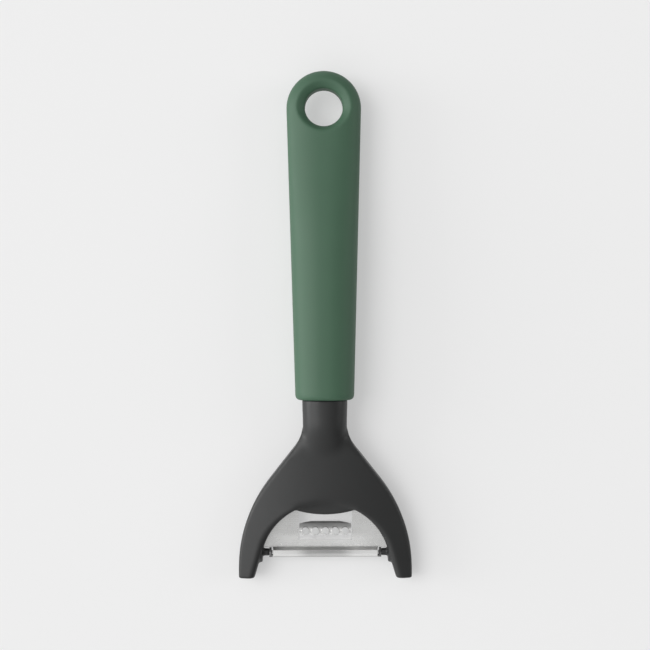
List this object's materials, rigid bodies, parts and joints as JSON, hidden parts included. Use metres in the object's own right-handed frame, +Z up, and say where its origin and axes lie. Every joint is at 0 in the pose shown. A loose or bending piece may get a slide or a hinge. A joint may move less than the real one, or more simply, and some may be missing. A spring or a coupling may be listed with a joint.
{
  "type": "y-peeler",
  "caption": "Y-shaped vegetable peeler with a long oval grip, hanging hole, forked head, swivelling slotted blade and a fixed zesting plate in the arch.",
  "frame": {"origin": "middle of the footprint, on the surface that the peeler lies on", "axes": "+X across the arms, +Y along the handle towards the hanging hole, +Z up out of the front face"},
  "size_m": [0.0608, 0.1772, 0.018],
  "materials": {
    "grip": "fine matte, soft to the touch",
    "head": "fine spark-eroded matte",
    "plate_steel": "satin, stamped",
    "blade_steel": "satin, ground edges"
  },
  "bodies": {
    "handle": {"grip": "grip", "head": "head", "zester_plate": "plate_steel"},
    "blade": {"blade": "blade_steel"}
  },
  "joints": [
    {"name": "blade_swivel", "type": "hinge", "parent": "handle", "child": "blade", "pos_m": [0, -0.07982, 0.0049], "axis": [1, 0, 0], "range_deg": [-55, 55]}
  ]
}
